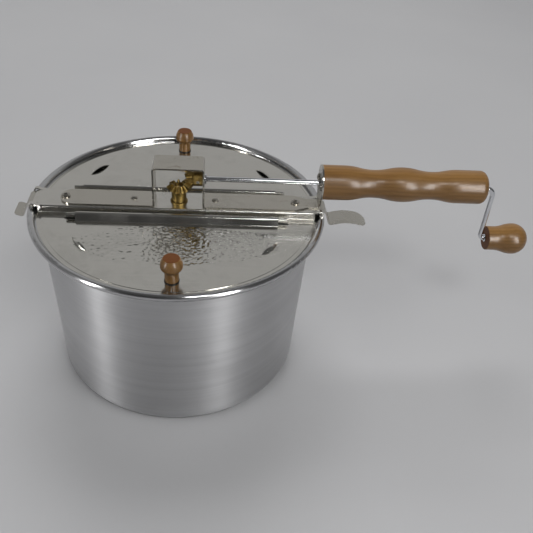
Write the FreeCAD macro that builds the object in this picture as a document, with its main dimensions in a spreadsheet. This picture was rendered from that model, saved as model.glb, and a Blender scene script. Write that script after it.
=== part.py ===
"""Stovetop popcorn popper: an aluminium pot, a crossbar that carries two hinged half lids, and a
hand crank that turns a stirring wire through a pair of mitre gears.

Frame: the origin is the centre of the pot's base on the hob, +X runs along the handle, +Y to the
back lid and +Z up. Lengths are in millimetres and angles in degrees."""

import FreeCAD, Part
import math
import os
import Sketcher

doc = FreeCAD.newDocument("popcorn_popper")

# Driving sizes

SIZES = [
    ("pot_height", 163.8, "hob to the top of the rolled rim"),
    ("rim_radius", 130.0, "outside of the rolled rim"),
    ("bead_radius", 3.0, "outside radius of the roll itself"),
    ("pot_sheet", 1.5, "pot wall and base"),
    ("ledge_depth", 5.0, "rim top down to the ledge that carries the lids"),
    ("ledge_width", 10.4, "outside of the rim to the outside of the wall under the ledge"),
    ("wall_flare", 6.4, "wall's radius at the top less its radius at the base"),
    ("base_corner", 12.8, "outside radius between wall and base"),
    ("lid_sheet", 0.8, "lid steel"),
    ("lid_inset", 7.5, "outside of the rim to the edge of the lids"),
    ("lid_ring_inset", 3.9, "edge of a lid to the shallow ring pressed round it"),
    ("hem_inset", 43.0, "outside of the rim to the end of a lid's rolled hem"),
    ("notch_width", 9.5, "notch beside the hem"),
    ("notch_depth", 1.6, "lid's straight edge to the bottom of the notch"),
    ("hinge_offset", 22.4, "middle of the crossbar to a lid's hinge line"),
    ("hem_rise", 3.6, "lid surface up to the hinge line"),
    ("hinge_bead", 1.6, "radius of the crossbar's hinge bead"),
    ("hem_gap", 0.45, "running gap between hinge bead and hem"),
    ("hem_wrap", 150.0, "angle at which the hem ends, from level outward"),
    ("hem_slope", 25.0, "slope of the hem's flank"),
    ("vent_half_length", 12.5, "louvre, along the lid's edge"),
    ("vent_rise", 3.0, "louvre above the lid surface"),
    ("vent_inset", 31.7, "outside of the rim to a louvre's mouth"),
    ("vent_angle", 37.5, "louvres, away from the crossbar"),
    ("lid_knob_inset", 25.2, "outside of the rim to a lid knob's axis"),
    ("lid_knob_height", 21.2, "wooden lid knob"),
    ("lid_knob_neck", 5.6, "neck radius"),
    ("lid_knob_head", 8.85, "head radius"),
    ("bar_sheet", 1.0, "crossbar steel"),
    ("bar_half_width", 14.6, "crossbar plate"),
    ("bar_inset", 9.5, "outside of the rim to the end of the crossbar's walls"),
    ("lip_gap", 0.6, "crossbar's lip to a lid's straight edge"),
    ("rail_past_hem", 8.0, "end of a hem to the end of its hinge rail"),
    ("bar_tab", 5.0, "end of the walls to the end of the plate between the ears"),
    ("ear_inside", 10.7, "middle to the near side of an ear"),
    ("ear_outside", 14.4, "middle to the far side of an ear"),
    ("ear_curl", 2.6, "centreline radius of an ear's curl over the rim"),
    ("rest_gap", 0.3, "rim to the underside of the clips"),
    ("clip_sheet", 1.0, "spring clip steel"),
    ("clip_half_width", 10.0, "spring clip"),
    ("clip_bend_inset", 2.5, "outside of the rim to where a clip bends down"),
    ("clip_drop_run", 9.6, "straight run down outside the rim"),
    ("clip_steepness", 70.0, "slope of that run"),
    ("tongue_radius", 40.0, "arch of a clip's thumb tongue"),
    ("right_tongue_sweep", 47.0, "angle of the long tongue's arch"),
    ("left_tongue_sweep", 8.0, "angle of the short tongue's arch"),
    ("strap_sheet", 1.4, "gear bracket steel"),
    ("strap_half_width", 12.0, "gear bracket"),
    ("arch_half_span", 22.3, "middle to the outside of an arch wall"),
    ("arch_headroom", 15.4, "crank axis to the top of the arch"),
    ("arch_corner", 3.2, "outside radius of the arch's corners"),
    ("strap_bend", 1.2, "inside radius of the strap's other bends"),
    ("strap_inset", 27.0, "outside of the rim to the rounded end of the left foot"),
    ("handle_inset", 4.8, "outside of the rim to the handle's inner end"),
    ("neck_half_width", 7.3, "strap where it turns up to the handle"),
    ("taper_length", 11.0, "right foot, where it narrows"),
    ("neck_length", 11.2, "narrow end of the right foot"),
    ("left_screw_inset", 4.5, "rounded end of the left foot to its clip screw"),
    ("right_screw_inset", 21.7, "handle's inner end to the right clip screw"),
    ("left_rivet", 39.5, "middle to the left foot's rivet"),
    ("right_rivet", 32.0, "middle to the right foot's rivet"),
    ("axle_rise", 25.4, "rim top to the crank axis and the gears' apex"),
    ("gear_teeth", 8, "teeth on each mitre gear"),
    ("gear_pitch_radius", 9.7, "at the heel of the teeth"),
    ("gear_addendum", 1.55, "tooth above the pitch cone"),
    ("gear_dedendum", 2.5, "tooth below the pitch cone"),
    ("gear_toe_ratio", 0.58, "toe of a tooth as a part of its heel"),
    ("gear_hollow", 2.3, "depth of the hollow inside the crown of teeth"),
    ("gear_hollow_wall", 0.6, "crown between the hollow and the foot of the teeth"),
    ("gear_phase", 6.0, "how far both gears are turned at rest"),
    ("tooth_half_root", 2.25, "half tooth at the root"),
    ("tooth_half_pitch", 1.55, "half tooth at the pitch cone"),
    ("tooth_half_tip", 0.85, "half tooth at the tip"),
    ("hub_radius", 6.5, "gear hubs"),
    ("flange_radius", 7.7, "bushing flange under the driven gear"),
    ("flange_height", 1.2, "bushing flange"),
    ("sleeve_radius", 4.5, "bushing through the crossbar"),
    ("shaft_radius", 2.4, "stirrer shaft"),
    ("shaft_foot", 5.5, "hob to the lower end of the stirrer shaft"),
    ("rod_radius", 2.25, "crank rod"),
    ("running_gap", 0.08, "radial gap of a turning fit"),
    ("loose_gap", 0.9, "radial gap of the handle's bore"),
    ("rod_sag", 0.7, "how far the rod lies below the middle of the handle's bore"),
    ("seat_gap", 0.05, "radial gap of a fixed fit"),
    ("wire_radius", 1.5, "stirring wire"),
    ("wire_floor_gap", 1.3, "stirring wire above the pot's floor"),
    ("wire_cross_height", 6.0, "rise of the wire where it crosses the shaft"),
    ("wire_wall_gap", 22.2, "pot wall at the base to where the wire turns up"),
    ("handle_length", 147.7, "wooden handle"),
    ("handle_radius", 15.35, "handle at its inner end and crests"),
    ("handle_waist", 12.3, "handle at its two waists"),
    ("handle_collar", 19.8, "straight inner end of the handle"),
    ("handle_wave", 26.0, "crest to waist along the handle"),
    ("handle_end_radius", 14.9, "handle at its outer end"),
    ("handle_round", 6.0, "rounding of the outer end"),
    ("arm_gap", 9.1, "handle's outer end to the crank arm"),
    ("arm_length", 54.1, "crank axis to the knob's axis"),
    ("arm_bend", 8.0, "upper bend of the crank, on its centreline"),
    ("knob_bend", 4.5, "lower bend of the crank, on its centreline"),
    ("knob_gap", 5.6, "crank arm to the knob's inner end"),
    ("crank_knob_length", 38.0, "crank knob"),
    ("crank_knob_face_radius", 11.25, "crank knob at its inner end"),
    ("crank_knob_crest", 14.5, "crank knob at its fullest"),
    ("crank_knob_crest_place", 25.5, "inner end to the fullest section"),
    ("screw_radius", 2.0, "clip and knob screws"),
    ("screw_head", 3.9, "their pan heads"),
    ("rivet_radius", 1.5, "bracket rivets"),
    ("wood_screw_radius", 1.7, "handle screws"),
    ("wood_screw_place", 9.0, "crank axis to a handle screw"),
]

sheet = doc.addObject("Spreadsheet::Sheet", "sizes")
for row, (alias, amount, note) in enumerate(SIZES, start=1):
    sheet.set(f"A{row}", alias)
    sheet.set(f"B{row}", str(amount))
    sheet.set(f"C{row}", note)
    sheet.setAlias(f"B{row}", alias)
doc.recompute()


class Size:
    """A size from the sheet, or one worked out from others: its value now and the expression
    that keeps it bound to the sheet."""

    def __init__(self, value, text):
        self.value = value
        self.text = text

    def __add__(self, other):
        other = size(other)
        return Size(self.value + other.value, f"({self.text} + {other.text})")

    def __sub__(self, other):
        other = size(other)
        return Size(self.value - other.value, f"({self.text} - {other.text})")

    def __mul__(self, other):
        other = size(other)
        return Size(self.value * other.value, f"{self.text} * {other.text}")

    def __truediv__(self, other):
        other = size(other)
        return Size(self.value / other.value, f"{self.text} / ({other.text})")

    def __neg__(self):
        return size(0) - self

    def __radd__(self, other):
        return size(other) + self

    def __rsub__(self, other):
        return size(other) - self

    def __rmul__(self, other):
        return size(other) * self


def size(number):
    """A plain number as a Size."""
    if isinstance(number, Size):
        return number
    text = f"{number:.9g}"
    return Size(float(number), text if number >= 0 else f"({text})")


def root(area):
    return Size(math.sqrt(area.value), f"sqrt({area.text})")


def sine(angle):
    angle = size(angle)
    return Size(math.sin(math.radians(angle.value)), f"sin({angle.text})")


def cosine(angle):
    angle = size(angle)
    return Size(math.cos(math.radians(angle.value)), f"cos({angle.text})")


def of(alias):
    """The size that the sheet holds under this alias."""
    return Size(float(sheet.get(alias)), f"sizes.{alias}")


# Helpers for bodies, sketches and features


def new_body(label):
    body = doc.addObject("PartDesign::Body", label)
    body.Label = label
    return body


def bind(thing, prop, amount):
    """Binds one property of a document object to the sheet."""
    amount = size(amount)
    thing.setExpression(prop, amount.text)


def place(thing, x=0, y=0, z=0, axis=(0, 0, 1), angle=0):
    """Puts a finished piece in the popper's frame."""
    thing.Placement = FreeCAD.Placement(FreeCAD.Vector(), FreeCAD.Rotation(FreeCAD.Vector(*axis), angle))
    for letter, amount in (("x", x), ("y", y), ("z", z)):
        bind(thing, f"Placement.Base.{letter}", amount)
    return thing


def new_sketch(body, role, name, shift=0, axis=(0, 0, 1), angle=0):
    """A sketch on one of the body's origin planes, moved along its normal and turned."""
    sketch = body.newObject("Sketcher::SketchObject", name)
    plane = [feature for feature in body.Origin.OriginFeatures if feature.Role == role][0]
    sketch.AttachmentSupport = [(plane, "")]
    sketch.MapMode = "FlatFace"
    turn = FreeCAD.Rotation(FreeCAD.Vector(*axis), angle)
    sketch.AttachmentOffset = FreeCAD.Placement(FreeCAD.Vector(), turn)
    out = turn.multVec(FreeCAD.Vector(0, 0, 1))
    for letter, part in (("x", out.x), ("y", out.y), ("z", out.z)):
        if abs(part) > 1e-9:
            bind(sketch, f"AttachmentOffset.Base.{letter}", size(shift) * part)
    return sketch


def hold(sketch, dimensions, joins=()):
    """Adds dimensions (kind, places, amount), which it binds to the sheet, and then joins."""
    rules = [Sketcher.Constraint(kind, *places, amount.value) for kind, places, amount in dimensions]
    rules += [Sketcher.Constraint("Coincident", *places) for places in joins]
    indices = sketch.addConstraint(rules)
    for index, (kind, places, amount) in zip(indices, dimensions):
        sketch.setExpression(f"Constraints[{index}]", amount.text)


def pinned(edge, end, x, y):
    """The two dimensions that pin one end of an edge."""
    return [("DistanceX", (-1, 1, edge, end), size(x)), ("DistanceY", (-1, 1, edge, end), size(y))]


def arc_between(start, end, radius):
    """The arc of less than half a turn from start to end: left-turning for a positive radius."""
    chord = end - start
    middle = (start + end) * 0.5
    side = FreeCAD.Vector(-chord.y, chord.x, 0).normalize()
    rise = math.sqrt(max(radius * radius - chord.Length ** 2 / 4, 0))
    centre = middle + side * math.copysign(rise, radius)
    first, last = (start, end) if radius > 0 else (end, start)
    from_angle = math.atan2(first.y - centre.y, first.x - centre.x)
    to_angle = math.atan2(last.y - centre.y, last.x - centre.x)
    circle = Part.Circle(centre, FreeCAD.Vector(0, 0, 1), abs(radius))
    return Part.ArcOfCircle(circle, from_angle, to_angle)


def draw(sketch, points, closed=True):
    """Draws an outline or path. A point is (x, y), or (x, y, radius) where the edge that arrives
    at it is an arc: left-turning for a positive radius, right-turning for a negative one."""
    rows = [tuple(size(number) for number in point) for point in points]
    spots = [FreeCAD.Vector(row[0].value, row[1].value, 0) for row in rows]
    count = len(rows) if closed else len(rows) - 1
    curves, ends, dimensions = [], [], []
    first = sketch.GeometryCount
    for step in range(count):
        edge, target = first + step, (step + 1) % len(rows)
        if len(rows[target]) == 3:
            radius = rows[target][2]
            curves.append(arc_between(spots[step], spots[target], radius.value))
            ends.append((edge, 1, 2) if radius.value > 0 else (edge, 2, 1))
            dimensions.append(("Radius", (edge,), radius if radius.value > 0 else -radius))
        else:
            curves.append(Part.LineSegment(spots[step], spots[target]))
            ends.append((edge, 1, 2))
        dimensions += pinned(edge, ends[-1][1], rows[step][0], rows[step][1])
    joins = [(before[0], before[2], after[0], after[1]) for before, after in zip(ends, ends[1:])]
    if closed:
        joins.append((ends[-1][0], ends[-1][2], ends[0][0], ends[0][1]))
    else:
        dimensions += pinned(ends[-1][0], ends[-1][2], rows[-1][0], rows[-1][1])
    sketch.addGeometry(curves, False)
    hold(sketch, dimensions, joins)
    return sketch


def draw_circle(sketch, x, y, radius):
    x, y, radius = size(x), size(y), size(radius)
    circle = Part.Circle(FreeCAD.Vector(x.value, y.value, 0), FreeCAD.Vector(0, 0, 1), radius.value)
    edge = sketch.addGeometry(circle, False)
    hold(sketch, pinned(edge, 3, x, y) + [("Radius", (edge,), radius)])
    return sketch


def pad(body, sketch, length, middle=False, back=False):
    """Extrudes a sketch along its normal, or both ways from it, or against it."""
    feature = body.newObject("PartDesign::Pad", sketch.Name + "_pad")
    feature.Profile = sketch
    feature.Midplane = middle
    feature.Reversed = back
    bind(feature, "Length", length)
    body.Tip = feature
    return feature


def cut(body, sketch, length, middle=False, back=False):
    """Cuts a sketch against its normal, or both ways from it, or along it."""
    doc.recompute()
    before = body.Shape.Volume
    feature = body.newObject("PartDesign::Pocket", sketch.Name + "_cut")
    feature.Profile = sketch
    feature.Midplane = middle
    feature.Reversed = back
    bind(feature, "Length", length)
    body.Tip = feature
    doc.recompute()
    if not body.Shape.Volume < before:
        raise RuntimeError(f"{sketch.Name} of {body.Label} cuts nothing")
    return feature


def turn(body, sketch, axis="V_Axis"):
    """Turns a profile into a solid of revolution."""
    feature = body.newObject("PartDesign::Revolution", sketch.Name + "_turned")
    feature.Profile = sketch
    feature.ReferenceAxis = (sketch, [axis])
    feature.Angle = 360
    body.Tip = feature
    return feature


def sweep(body, profile, path):
    feature = body.newObject("PartDesign::AdditivePipe", path.Name + "_swept")
    feature.Profile = profile
    feature.Spine = path
    body.Tip = feature
    return feature


def strip(start, heading, moves, sheet_size):
    """The outline of a bent strip of sheet. It follows its centreline from a start point, and each
    move is ("run", length) or ("bend", angle, radius): a bend's angle is positive to the left and
    its radius is the centreline's."""
    x, y = size(start[0]), size(start[1])
    half = sheet_size / 2
    left, right = [], []

    def note_sides(left_radius=None, right_radius=None):
        across_x, across_y = sine(heading) * half, cosine(heading) * half
        left_point = (x - across_x, y + across_y)
        right_point = (x + across_x, y - across_y)
        left.append(left_point + ((left_radius,) if left_radius is not None else ()))
        right.append(right_point + ((right_radius,) if right_radius is not None else ()))

    note_sides()
    for move in moves:
        if move[0] == "run":
            x = x + move[1] * cosine(heading)
            y = y + move[1] * sine(heading)
            note_sides()
        else:
            angle, radius = size(move[1]), size(move[2])
            hand = 1 if angle.value > 0 else -1
            centre_x = x - sine(heading) * radius * hand
            centre_y = y + cosine(heading) * radius * hand
            heading = size(heading) + angle
            x = centre_x + sine(heading) * radius * hand
            y = centre_y - cosine(heading) * radius * hand
            note_sides((radius - half * hand) * hand, (radius + half * hand) * hand)
    outline = list(left)
    for index in range(len(right) - 1, -1, -1):
        point = right[index][:2]
        arrives_by = right[index + 1][2:] if index + 1 < len(right) else ()
        outline.append(point + tuple(-radius for radius in arrives_by))
    return outline


def mirrored(points):
    """A run of points mirrored about the vertical axis, in the order that closes the outline."""
    flipped = []
    for index in range(len(points) - 1, -1, -1):
        arrives_by = points[index + 1][2:] if index + 1 < len(points) else ()
        flipped.append((-size(points[index][0]), points[index][1]) + arrives_by)
    return flipped


def wave(stations):
    """Points of a smooth wavy profile: it is level at each station (x, radius), and two equal arcs
    join one station to the next."""
    points = [stations[0]]
    for (x_from, r_from), (x_to, r_to) in zip(stations, stations[1:]):
        run, rise = x_to - x_from, r_to - r_from
        if abs(rise.value) < 1e-6:
            points.append((x_to, r_to))
            continue
        up = 1 if rise.value > 0 else -1
        bend = (run * run + rise * rise) / (rise * 4 * up)
        points.append((x_from + run / 2, r_from + rise / 2, bend * up))
        points.append((x_to, r_to, bend * -up))
    return points


def dome_radius(run, drop):
    """Radius of an arc that starts level and falls by drop over a run."""
    return (run * run + drop * drop) / (drop * 2)


def group(label, members):
    """Identical fasteners that share one node."""
    bundle = doc.addObject("Part::Compound", label)
    bundle.Label = label
    bundle.Links = members
    return bundle


# Places worked out from the driving sizes

SIDES = (-1, 1)
WALL_TOP = of("rim_radius") - of("ledge_width")
WALL_FOOT = WALL_TOP - of("wall_flare")
LID_RADIUS = of("rim_radius") - of("lid_inset")
LID_RING = LID_RADIUS - of("lid_ring_inset")
HEM_END = of("rim_radius") - of("hem_inset")
NOTCH_END = HEM_END + of("notch_width")
RAIL_END = HEM_END + of("rail_past_hem")
VENT_RADIUS = of("rim_radius") - of("vent_inset")
KNOB_PLACE = of("rim_radius") - of("lid_knob_inset")
BAR_END = of("rim_radius") - of("bar_inset")
TAB_END = BAR_END + of("bar_tab")
CLIP_BEND = of("rim_radius") - of("clip_bend_inset")
STRAP_LEFT = of("rim_radius") - of("strap_inset")
LEFT_SCREW = STRAP_LEFT - of("left_screw_inset")
HANDLE_FACE = of("rim_radius") - of("handle_inset")
RIGHT_SCREW = HANDLE_FACE - of("right_screw_inset")
TAPER_END = HANDLE_FACE - of("neck_length")
TAPER_START = TAPER_END - of("taper_length")
ARM = HANDLE_FACE + of("handle_length") + of("arm_gap")
KNOB_FACE = ARM + of("knob_gap")
WIRE_REACH = WALL_FOOT - of("wire_wall_gap")

LEDGE = of("pot_height") - of("ledge_depth")
LID_TOP = LEDGE + of("lid_sheet")
HINGE_HEIGHT = LID_TOP + of("hem_rise")
LID_EDGE = of("hinge_offset") + 0.4
NOTCH_EDGE = LID_EDGE + of("notch_depth")
CLIP_UNDER = of("pot_height") + of("rest_gap")
BAR_UNDER = CLIP_UNDER + of("clip_sheet")
BAR_TOP = BAR_UNDER + of("bar_sheet")
FOOT_TOP = BAR_TOP + of("strap_sheet")
ARCH_INSIDE = of("arch_half_span") - of("strap_sheet")
PLATE_BACK = HANDLE_FACE - of("strap_sheet")
FLANGE_TOP = BAR_TOP + of("flange_height")
WIRE_LOW = of("pot_sheet") + of("wire_floor_gap") + of("wire_radius")
WIRE_CROSS = WIRE_LOW + of("wire_cross_height")
GEAR_TOE = (of("gear_pitch_radius") + of("gear_dedendum") * cosine(45)) * of("gear_toe_ratio")
GEAR_HOLLOW = GEAR_TOE + of("gear_hollow")
SLEEVE_FOOT = BAR_UNDER - 4
AXLE = of("pot_height") + of("axle_rise")
ARCH_TOP = AXLE + of("arch_headroom")
HANDLE_AXIS = AXLE + of("rod_sag")
KNOB_AXIS = AXLE - of("arm_length")
SMALL = size(0.6)


# Pot


def pot():
    body = new_body("pot")
    sheet_size, bead = of("pot_sheet"), of("bead_radius")
    bead_r = of("rim_radius") - bead
    bead_z = of("pot_height") - bead
    collar = bead_r - bead
    core = bead - sheet_size
    wall_r, base_r, corner = WALL_TOP, WALL_FOOT, of("base_corner")
    curl_x, curl_z = cosine(70), sine(70)
    profile = new_sketch(body, "XZ_Plane", "pot_profile")
    draw(profile, [
        (0, 0),
        (base_r - corner, 0),
        (base_r, corner, corner),
        (wall_r, LEDGE - sheet_size - 1),
        (wall_r + 1, LEDGE - sheet_size, -1),
        (collar, LEDGE - sheet_size),
        (collar + sheet_size, LEDGE, sheet_size),
        (collar + sheet_size, bead_z),
        (bead_r, bead_z + core, -core),
        (bead_r + core, bead_z, -core),
        (bead_r + core * curl_x, bead_z - core * curl_z, -core),
        (bead_r + bead * curl_x, bead_z - bead * curl_z),
        (of("rim_radius"), bead_z, bead),
        (bead_r, of("pot_height"), bead),
        (collar, bead_z, bead),
        (collar, LEDGE + SMALL),
        (collar - SMALL, LEDGE, -SMALL),
        (wall_r, LEDGE),
        (wall_r - sheet_size, LEDGE - sheet_size, sheet_size),
        (base_r - sheet_size, corner),
        (base_r - corner, sheet_size, sheet_size - corner),
        (0, sheet_size),
    ])
    turn(body, profile)
    return body


# Crossbar and what is fixed to it


def crossbar():
    """A steel channel whose walls turn out into lips; the lips carry a hinge rail for each lid."""
    body = new_body("crossbar")
    sheet_size, half, bead = of("bar_sheet"), of("bar_half_width"), of("hinge_bead")
    outer_bend = sheet_size + SMALL
    lip_edge = LID_EDGE - of("lip_gap")
    lip_top = LEDGE + sheet_size

    # The right half from the top plate down to the lip and back, then the same mirrored.
    half_section = [
        (half - outer_bend, BAR_TOP),
        (half, BAR_TOP - outer_bend, -outer_bend),
        (half, lip_top + SMALL),
        (half + SMALL, lip_top, SMALL),
        (lip_edge, lip_top),
        (lip_edge, LEDGE),
        (half - sheet_size + outer_bend, LEDGE),
        (half - sheet_size, LEDGE + outer_bend, -outer_bend),
        (half - sheet_size, BAR_UNDER - SMALL),
        (half - outer_bend, BAR_UNDER, SMALL),
    ]
    section = new_sketch(body, "YZ_Plane", "bar_section")
    draw(section, half_section + mirrored(half_section))
    pad(body, section, BAR_END * 2, middle=True)

    # A rail is a web on the lip's edge under a round bead, the lid's hinge pin.
    rails = new_sketch(body, "YZ_Plane", "hinge_rails")
    web = sheet_size / 2
    neck_z = HINGE_HEIGHT - root(bead * bead - web * web)
    middle = of("hinge_offset")
    rail = [
        (middle - web - 0.5, LEDGE),
        (middle + web, LEDGE),
        (middle + web, neck_z),
        (middle, HINGE_HEIGHT + bead, bead),
        (middle - web, neck_z, bead),
        (middle - web, lip_top),
        (middle - web - 0.5, lip_top),
    ]
    draw(rails, rail)
    draw(rails, mirrored(rail))
    pad(body, rails, RAIL_END * 2, middle=True)

    tab = new_sketch(body, "XY_Plane", "bar_tab", BAR_UNDER)
    reach, inside = TAB_END, of("clip_half_width") + 0.2
    draw(tab, [(-reach, -inside), (reach, -inside), (reach, inside), (-reach, inside)])
    pad(body, tab, sheet_size)

    # Each ear climbs from the plate and curls down over the rolled rim.
    curl = of("ear_curl")
    ear_start = BAR_END - 2
    ear_z = BAR_TOP - sheet_size / 2
    for end in SIDES:
        for side in SIDES:
            name = f"ear_{'left' if end < 0 else 'right'}_{'front' if side < 0 else 'back'}"
            ear = new_sketch(body, "XZ_Plane", name, of("ear_inside") * -side)
            moves = [
                ("run", size(3.4)),
                ("bend", 30 * end, SMALL + sheet_size / 2),
                ("run", size(2.2)),
                ("bend", -120 * end, curl),
                ("run", size(0.5)),
            ]
            draw(ear, strip((ear_start * end, ear_z), 90 - 90 * end, moves, sheet_size))
            pad(body, ear, of("ear_outside") - of("ear_inside"), back=side > 0)

    holes = new_sketch(body, "XY_Plane", "bar_holes", BAR_TOP + 1)
    draw_circle(holes, 0, 0, of("sleeve_radius") + of("seat_gap"))
    draw_circle(holes, -LEFT_SCREW, 0, of("screw_radius") + of("seat_gap"))
    draw_circle(holes, RIGHT_SCREW, 0, of("screw_radius") + of("seat_gap"))
    draw_circle(holes, -of("left_rivet"), 0, of("rivet_radius") + of("seat_gap"))
    draw_circle(holes, of("right_rivet"), 0, of("rivet_radius") + of("seat_gap"))
    cut(body, holes, sheet_size + 2)
    return body


def gear_bracket():
    """One steel strap: the left foot, the arch over the gears, the right foot, and the plate that
    it turns up into at the handle's end."""
    body = new_body("gear_bracket")
    sheet_size, bend = of("strap_sheet"), of("strap_bend")
    half_sheet = sheet_size / 2
    corner = of("arch_corner") - half_sheet
    foot_bend = bend + half_sheet
    wall_x = of("arch_half_span") - half_sheet
    foot_z = BAR_TOP + half_sheet
    wall_run = ARCH_TOP - half_sheet - corner - foot_z - foot_bend
    moves = [
        ("run", STRAP_LEFT - wall_x - foot_bend),
        ("bend", 90, foot_bend),
        ("run", wall_run),
        ("bend", -90, corner),
        ("run", (wall_x - corner) * 2),
        ("bend", -90, corner),
        ("run", wall_run),
        ("bend", 90, foot_bend),
        ("run", PLATE_BACK + half_sheet - wall_x - foot_bend * 2),
        ("bend", 90, foot_bend),
        ("run", size(2.0)),
    ]
    section = new_sketch(body, "XZ_Plane", "strap_section")
    draw(section, strip((-STRAP_LEFT, foot_z), 0, moves, sheet_size))
    pad(body, section, of("strap_half_width") * 2, middle=True)

    narrow, wide = of("neck_half_width"), of("strap_half_width")
    sides = new_sketch(body, "XY_Plane", "strap_plan", FOOT_TOP + 6)
    left_end, round_start = -STRAP_LEFT, wide - 0.5 - STRAP_LEFT
    for side in SIDES:
        draw(sides, [
            (TAPER_START, (wide + 1) * side),
            (TAPER_START, wide * side),
            (TAPER_END, narrow * side),
            (HANDLE_FACE + 1, narrow * side),
            (HANDLE_FACE + 1, (wide + 1) * side),
        ])
        draw(sides, [
            (round_start, (wide + 1) * side),
            (round_start, wide * side),
            (left_end, 0.5 * side, (wide - 0.5) * side),
            (left_end - 1, 0.5 * side),
            (left_end - 1, (wide + 1) * side),
        ])
    cut(body, sides, sheet_size + 8)

    # The plate is a disc as wide as the handle on a neck that its sides meet at a tangent.
    plate = new_sketch(body, "YZ_Plane", "handle_plate", PLATE_BACK)
    disc, middle = of("handle_radius"), HANDLE_AXIS
    shoulder = 24
    neck_z = FOOT_TOP + bend
    shoulder_y, shoulder_z = disc * cosine(shoulder), middle - disc * sine(shoulder)
    draw(plate, [
        (-narrow, neck_z),
        (narrow, neck_z),
        (shoulder_y, shoulder_z),
        (0, middle + disc, disc),
        (-shoulder_y, shoulder_z, disc),
    ])
    pad(body, plate, sheet_size)

    rod_hole = new_sketch(body, "YZ_Plane", "arch_rod_hole", of("arch_half_span") + 1)
    draw_circle(rod_hole, 0, AXLE, of("rod_radius") + of("running_gap"))
    cut(body, rod_hole, sheet_size + 2)

    plate_holes = new_sketch(body, "YZ_Plane", "plate_holes", HANDLE_FACE + 1)
    draw_circle(plate_holes, 0, middle, of("rod_radius") + of("loose_gap"))
    for side in SIDES:
        place_y = of("wood_screw_place") * side
        draw_circle(plate_holes, place_y, middle, of("wood_screw_radius") + of("seat_gap"))
    cut(body, plate_holes, sheet_size + 2)

    foot_holes = new_sketch(body, "XY_Plane", "foot_holes", FOOT_TOP + 1)
    draw_circle(foot_holes, -LEFT_SCREW, 0, of("screw_radius") + of("seat_gap"))
    draw_circle(foot_holes, RIGHT_SCREW, 0, of("screw_radius") + of("seat_gap"))
    draw_circle(foot_holes, -of("left_rivet"), 0, of("rivet_radius") + of("seat_gap"))
    draw_circle(foot_holes, of("right_rivet"), 0, of("rivet_radius") + of("seat_gap"))
    cut(body, foot_holes, sheet_size + 2)

    return body


def shaft_bushing():
    """Flanged sleeve through the crossbar, swaged over under the plate."""
    body = new_body("shaft_bushing")
    bore = of("shaft_radius") + of("running_gap")
    sleeve = of("sleeve_radius")
    profile = new_sketch(body, "XZ_Plane", "bushing_profile")
    draw(profile, [
        (bore, SLEEVE_FOOT),
        (sleeve, SLEEVE_FOOT),
        (sleeve, BAR_UNDER - 0.9),
        (sleeve + 1, BAR_UNDER - 0.6),
        (sleeve + 1, BAR_UNDER),
        (sleeve, BAR_UNDER),
        (sleeve, BAR_TOP),
        (of("flange_radius"), BAR_TOP),
        (of("flange_radius"), FLANGE_TOP - SMALL),
        (of("flange_radius") - SMALL, FLANGE_TOP, SMALL),
        (bore, FLANGE_TOP),
    ])
    turn(body, profile)
    return body


def pan_screw(label, radius, length, head):
    """Pan head screw whose head stands on z = 0, with a cross recess."""
    body = new_body(label)
    rim, rise = head * 0.25, head * 0.3
    profile = new_sketch(body, "XZ_Plane", label + "_profile")
    draw(profile, [
        (0, -length),
        (radius - 0.3, -length),
        (radius, -length + 0.3),
        (radius, 0),
        (head, 0),
        (head, rim),
        (0, rim + rise, dome_radius(head, rise)),
    ])
    turn(body, profile)
    recess = new_sketch(body, "XY_Plane", label + "_recess", rim + rise + 1)
    arm, slot = head * 0.5, head * 0.11
    draw(recess, [
        (-arm, -slot), (-slot, -slot), (-slot, -arm), (slot, -arm),
        (slot, -slot), (arm, -slot), (arm, slot), (slot, slot),
        (slot, arm), (-slot, arm), (-slot, slot), (-arm, slot),
    ])
    cut(body, recess, rise + 1.6)
    return body


def hex_nut(label, radius, thread, height):
    """Hexagon nut that hangs below z = 0."""
    body = new_body(label)
    sketch = new_sketch(body, "XY_Plane", label + "_hexagon")
    draw(sketch, [(radius * cosine(60 * k), radius * sine(60 * k)) for k in range(6)])
    draw_circle(sketch, 0, 0, thread + of("seat_gap"))
    pad(body, sketch, height, back=True)
    return body


def clip_fasteners():
    """Screw and nut through the bracket's foot, the crossbar and the spring clip, at each end."""
    screws, nuts = [], []
    stack = of("strap_sheet") + of("bar_sheet") + of("clip_sheet")
    for name, x in (("left", -LEFT_SCREW), ("right", RIGHT_SCREW)):
        screw = pan_screw(f"clip_screw_{name}", of("screw_radius"), stack + 3.4, of("screw_head"))
        screws.append(place(screw, x, 0, FOOT_TOP, angle=20 if x.value > 0 else 65))
        nut = hex_nut(f"clip_nut_{name}", size(4.0), of("screw_radius"), size(2.6))
        nuts.append(place(nut, x, 0, BAR_UNDER - of("clip_sheet"), angle=10))
    return [group("clip_screws", screws), group("clip_nuts", nuts)]


def bracket_rivets():
    """Domed rivets that hold the bracket's feet to the crossbar beside the arch."""
    radius, head = of("rivet_radius"), size(3.1)
    under = BAR_UNDER - FOOT_TOP
    rivets = []
    for name, x in (("left", -of("left_rivet")), ("right", of("right_rivet"))):
        body = new_body(f"rivet_{name}")
        profile = new_sketch(body, "XZ_Plane", f"rivet_{name}_profile")
        draw(profile, [
            (0, under - 0.9),
            (radius + 1, under - 0.5),
            (radius + 1, under),
            (radius, under),
            (radius, 0),
            (head, 0),
            (head, 0.3),
            (0, 1.6, dome_radius(head, size(1.3))),
        ])
        turn(body, profile)
        rivets.append(place(body, x, 0, FOOT_TOP))
    return [group("bracket_rivets", rivets)]


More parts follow.
